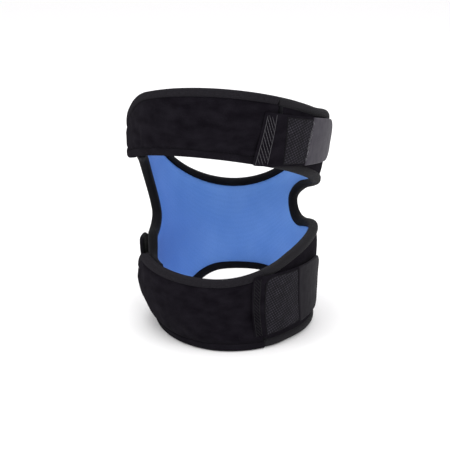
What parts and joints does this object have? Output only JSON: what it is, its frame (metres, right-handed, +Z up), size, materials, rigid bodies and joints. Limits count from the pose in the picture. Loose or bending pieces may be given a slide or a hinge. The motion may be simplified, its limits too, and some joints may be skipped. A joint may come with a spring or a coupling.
{
  "type": "cold compression wrap",
  "caption": "Knee wrap with an X-shaped cold-pack panel behind the knee and padded straps that close above and below the kneecap with hook-tape tabs.",
  "frame": {"origin": "on the floor under the middle of the wrap's box", "axes": "+Z up the leg, from calf to thigh; -Y towards the kneecap, where the straps close; +Y towards the panel behind the knee; +X towards the fastening tabs"},
  "size_m": [0.1533, 0.1545, 0.1898],
  "materials": {
    "black_pile_fabric": "black brushed loop pile, matt, with a soft sheen",
    "black_binding": "black stretch binding tape, fine rib",
    "black_lining": "smooth black knit",
    "blue_mesh_fabric": "smooth blue fine-knit mesh",
    "dark_foam": "closed-cell foam",
    "blue_gel": "gel sealed in smooth film",
    "hook_tape": "black woven hook tape",
    "grey_grip": "smooth dark grey bonded fabric",
    "grey_thread": "grey polyester thread"
  },
  "bodies": {
    "panel": {"panel_outer_cover": "black_pile_fabric", "panel_insulation_foam": "dark_foam", "cold_gel_pack": "blue_gel", "panel_mesh_lining": "blue_mesh_fabric", "panel_top_binding": "black_binding", "panel_bottom_binding": "black_binding", "panel_left_notch_binding": "black_binding", "panel_right_notch_binding": "black_binding", "upper_strap_sewn_end": "black_pile_fabric", "lower_strap_sewn_end": "black_pile_fabric"},
    "upper_strap": {"upper_strap_cover": "black_pile_fabric", "upper_strap_foam": "dark_foam", "upper_strap_lining": "black_lining", "upper_strap_top_rim": "black_binding", "upper_strap_bottom_rim": "black_binding", "upper_tab_sewn_end": "black_pile_fabric", "upper_tab_zigzag_stitching": "grey_thread"},
    "upper_tab": {"upper_tab_base": "black_pile_fabric", "upper_tab_hook_tape_back": "hook_tape", "upper_tab_pull_grip": "grey_grip", "upper_tab_hook_patch": "hook_tape"},
    "lower_strap": {"lower_strap_cover": "black_pile_fabric", "lower_strap_foam": "dark_foam", "lower_strap_lining": "black_lining", "lower_strap_top_rim": "black_binding", "lower_strap_bottom_rim": "black_binding", "lower_tab_sewn_end": "black_pile_fabric", "lower_tab_zigzag_stitching": "grey_thread"},
    "lower_tab": {"lower_tab_base": "black_pile_fabric", "lower_tab_hook_tape_back": "hook_tape", "lower_tab_pull_grip": "grey_grip", "lower_tab_hook_patch": "hook_tape"}
  },
  "joints": [
    {"name": "upper_strap_swing", "type": "hinge", "parent": "panel", "child": "upper_strap", "pos_m": [-0.0766, -0.0044, 0.137], "axis": [0, 0, -1], "range_deg": [0, 110]},
    {"name": "upper_tab_peel", "type": "hinge", "parent": "upper_strap", "child": "upper_tab", "pos_m": [0.04023, -0.0669, 0.15425], "axis": [-0.1603, -0.0647, -0.9849], "range_deg": [0, 90]},
    {"name": "lower_strap_swing", "type": "hinge", "parent": "panel", "child": "lower_strap", "pos_m": [-0.0699, -0.0044, 0.03], "axis": [0, 0, -1], "range_deg": [0, 110]},
    {"name": "lower_tab_peel", "type": "hinge", "parent": "lower_strap", "child": "lower_tab", "pos_m": [0.0333, -0.0679, 0.0315], "axis": [0.0148, 0.0866, -0.9961], "range_deg": [0, 90]}
  ]
}
